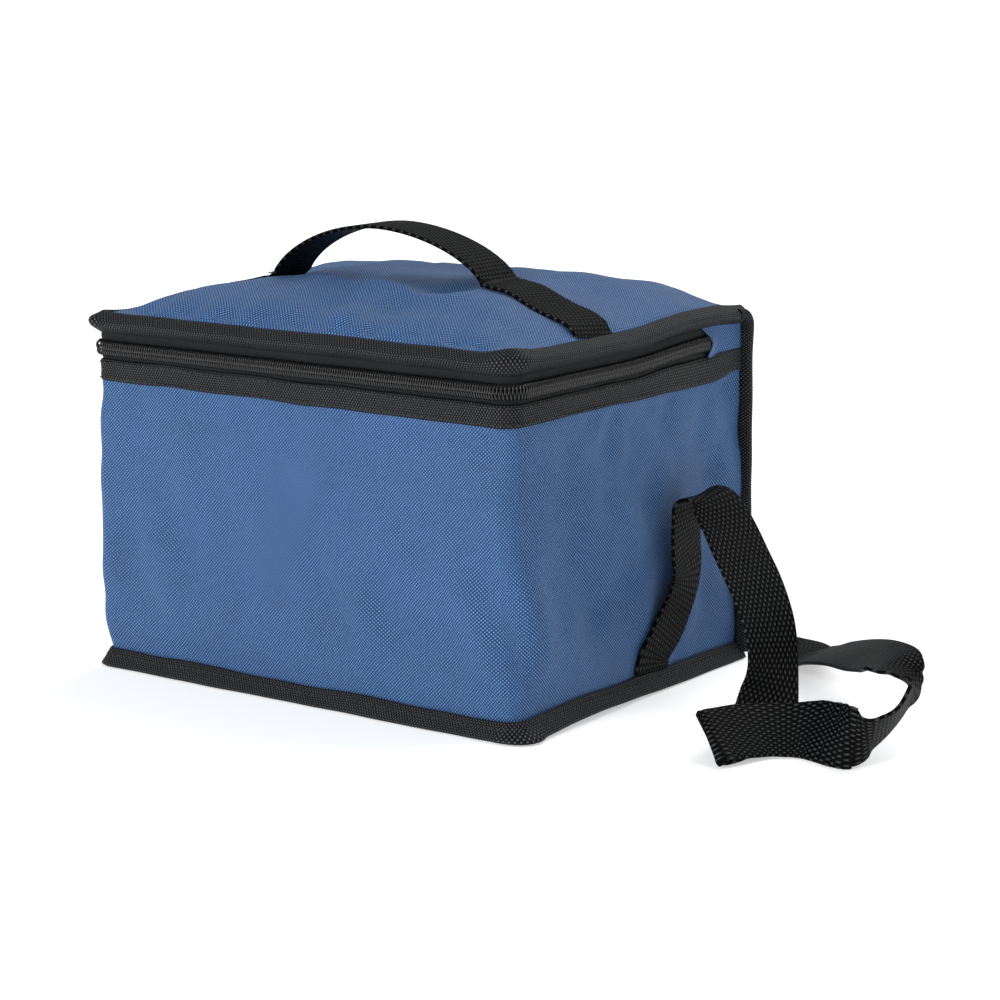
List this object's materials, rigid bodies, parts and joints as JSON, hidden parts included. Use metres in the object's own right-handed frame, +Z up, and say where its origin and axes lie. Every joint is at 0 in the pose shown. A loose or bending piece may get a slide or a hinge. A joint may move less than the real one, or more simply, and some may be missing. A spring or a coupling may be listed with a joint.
{
  "type": "insulated cooler bag",
  "caption": "Small box-shaped insulated cooler bag with a zipped padded lid, a webbing grab handle on the lid and a long webbing shoulder strap.",
  "frame": {"origin": "on the floor under the middle of the bag's walls", "axes": "+Z up, -Y out of the long front with the zip, +X towards the end where the shoulder strap comes up"},
  "size_m": [0.4222, 0.2221, 0.1915],
  "materials": {
    "blue_cloth": "matt coated plain-weave polyester",
    "blue_cloth_lid": "matt coated plain-weave polyester, padded and puckered",
    "binding": "ribbed woven tape, matt",
    "webbing": "coarse woven polypropylene webbing with a slight sheen",
    "zip_tape": "smooth woven tape",
    "zip_coil": "glossy nylon coil",
    "zip_metal": "black enamelled zinc",
    "foam": "closed-cell polyethylene foam",
    "foil": "crinkled heat-sealed silver lining"
  },
  "bodies": {
    "bag": {"outer_wrap": "blue_cloth", "back_panel": "blue_cloth", "base_panel": "blue_cloth", "front_foam": "foam", "left_foam": "foam", "right_foam": "foam", "back_foam": "foam", "base_foam": "foam", "wall_lining": "foil", "back_lining": "foil", "base_lining": "foil", "base_binding": "binding", "left_back_binding": "binding", "right_back_binding": "binding", "hinge_binding": "binding", "zip_band_binding": "binding", "lower_zip_tape": "zip_tape", "lower_zip_coil": "zip_coil", "left_zip_end_tab": "blue_cloth", "right_zip_end_tab": "blue_cloth", "shoulder_strap": "webbing"},
    "lid": {"lid_panel": "blue_cloth_lid", "lid_foam": "foam", "lid_lining": "foil", "lid_binding": "binding", "upper_zip_tape": "zip_tape", "upper_zip_coil": "zip_coil", "handle_left_tail": "webbing", "handle_right_tail": "webbing"},
    "handle": {"handle_loop": "webbing"},
    "slider": {"zip_slider": "zip_metal"},
    "pull": {"zip_pull": "zip_metal"}
  },
  "joints": [
    {"name": "lid_hinge", "type": "hinge", "parent": "bag", "child": "lid", "pos_m": [0, 0.085, 0.1453], "axis": [-1, 0, 0], "range_deg": [0, 110]},
    {"name": "handle_flop", "type": "hinge", "parent": "lid", "child": "handle", "pos_m": [-0.006, -0.016, 0.1722], "axis": [1, 0, 0], "range_deg": [-25, 25], "stiffness_Nm_per_rad": 0.02},
    {"name": "slider_run", "type": "slide", "parent": "bag", "child": "slider", "axis": [0, -1, 0], "range_m": [0, 0.115]},
    {"name": "pull_swing", "type": "hinge", "parent": "slider", "child": "pull", "pos_m": [-0.1126, 0.0504, 0.1392], "axis": [0, 1, 0], "range_deg": [0, 170]}
  ]
}
